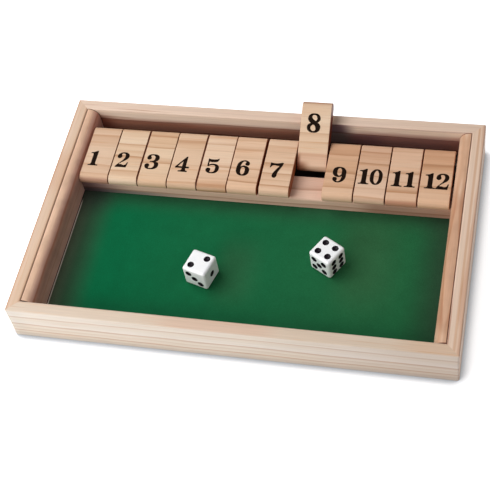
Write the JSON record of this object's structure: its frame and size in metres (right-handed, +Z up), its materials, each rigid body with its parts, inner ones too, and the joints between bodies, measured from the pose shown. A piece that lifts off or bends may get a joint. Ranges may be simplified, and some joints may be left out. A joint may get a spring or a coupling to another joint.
{
  "type": "shut the box game",
  "caption": "Shallow mitred wooden tray lined with green felt, with a row of hinged number tiles on a rod, a tile turned back over the rim, and loose dice.",
  "frame": {"origin": "middle of the tray's underside", "axes": "+X along the row of tiles from 1 upwards, +Y towards the back rail, +Z up"},
  "size_m": [0.323, 0.205, 0.0461],
  "materials": {
    "frame_pine": "sanded pine under clear satin lacquer, grain along each rail",
    "batten_pine": "rounded pine strip, warmer in tone, clear satin lacquer",
    "ledge_pine": "sanded pine, grain along the strip",
    "tile_pine": "sanded pine under clear satin lacquer, grain across each tile",
    "base_plywood": "thin plywood, unfinished below and brushed black above",
    "green_felt": "short green felt, glued down",
    "rod_steel": "drawn wire gone dull",
    "dice_resin": "polished white resin",
    "black_paint": "glossy black paint in the pips",
    "black_ink": "satin black printed numerals"
  },
  "bodies": {
    "tray": {"front_rail": "frame_pine", "back_rail": "frame_pine", "left_rail": "frame_pine", "right_rail": "frame_pine", "base_panel": "base_plywood", "felt_lining": "green_felt", "left_batten": "batten_pine", "right_batten": "batten_pine", "tile_ledge": "ledge_pine", "tile_rod": "rod_steel"},
    "flap_1": {"tile_1": "tile_pine"},
    "flap_2": {"tile_2": "tile_pine"},
    "flap_3": {"tile_3": "tile_pine"},
    "flap_4": {"tile_4": "tile_pine"},
    "flap_5": {"tile_5": "tile_pine"},
    "flap_6": {"tile_6": "tile_pine"},
    "flap_7": {"tile_7": "tile_pine"},
    "flap_8": {"tile_8": "tile_pine"},
    "flap_9": {"tile_9": "tile_pine"},
    "flap_10": {"tile_10": "tile_pine"},
    "flap_11": {"tile_11": "tile_pine"},
    "flap_12": {"tile_12": "tile_pine"},
    "loose_left_die": {"left_die": "dice_resin"},
    "loose_right_die": {"right_die": "dice_resin"}
  },
  "joints": [
    {"name": "tile_1_flip", "type": "hinge", "parent": "tray", "child": "flap_1", "pos_m": [-0.13101, 0.0676, 0.02275], "axis": [-1, 0, 0], "range_deg": [0, 149.1]},
    {"name": "tile_2_flip", "type": "hinge", "parent": "tray", "child": "flap_2", "pos_m": [-0.10755, 0.0676, 0.02275], "axis": [-1, 0, 0], "range_deg": [0, 149.1]},
    {"name": "tile_3_flip", "type": "hinge", "parent": "tray", "child": "flap_3", "pos_m": [-0.08409, 0.0676, 0.02275], "axis": [-1, 0, 0], "range_deg": [0, 149.1]},
    {"name": "tile_4_flip", "type": "hinge", "parent": "tray", "child": "flap_4", "pos_m": [-0.06063, 0.0676, 0.02275], "axis": [-1, 0, 0], "range_deg": [0, 149.1]},
    {"name": "tile_5_flip", "type": "hinge", "parent": "tray", "child": "flap_5", "pos_m": [-0.03717, 0.0676, 0.02275], "axis": [-1, 0, 0], "range_deg": [0, 149.1]},
    {"name": "tile_6_flip", "type": "hinge", "parent": "tray", "child": "flap_6", "pos_m": [-0.01371, 0.0676, 0.02275], "axis": [-1, 0, 0], "range_deg": [0, 149.1]},
    {"name": "tile_7_flip", "type": "hinge", "parent": "tray", "child": "flap_7", "pos_m": [0.01105, 0.0676, 0.02275], "axis": [-1, 0, 0], "range_deg": [0, 149.1]},
    {"name": "tile_8_flip", "type": "hinge", "parent": "tray", "child": "flap_8", "pos_m": [0.03475, 0.0676, 0.02275], "axis": [-1, 0, 0], "range_deg": [-149.19, 0]},
    {"name": "tile_9_flip", "type": "hinge", "parent": "tray", "child": "flap_9", "pos_m": [0.05885, 0.0676, 0.02275], "axis": [-1, 0, 0], "range_deg": [0, 149.1]},
    {"name": "tile_10_flip", "type": "hinge", "parent": "tray", "child": "flap_10", "pos_m": [0.08255, 0.0676, 0.02275], "axis": [-1, 0, 0], "range_deg": [0, 149.1]},
    {"name": "tile_11_flip", "type": "hinge", "parent": "tray", "child": "flap_11", "pos_m": [0.10625, 0.0676, 0.02275], "axis": [-1, 0, 0], "range_deg": [0, 149.1]},
    {"name": "tile_12_flip", "type": "hinge", "parent": "tray", "child": "flap_12", "pos_m": [0.12995, 0.0676, 0.02275], "axis": [-1, 0, 0], "range_deg": [0, 149.1]},
    {"name": "left_die_lift", "type": "slide", "parent": "tray", "child": "loose_left_die", "axis": [0, 0, 1], "range_m": [0, 0.06]},
    {"name": "right_die_lift", "type": "slide", "parent": "tray", "child": "loose_right_die", "axis": [0, 0, 1], "range_m": [0, 0.06]}
  ]
}
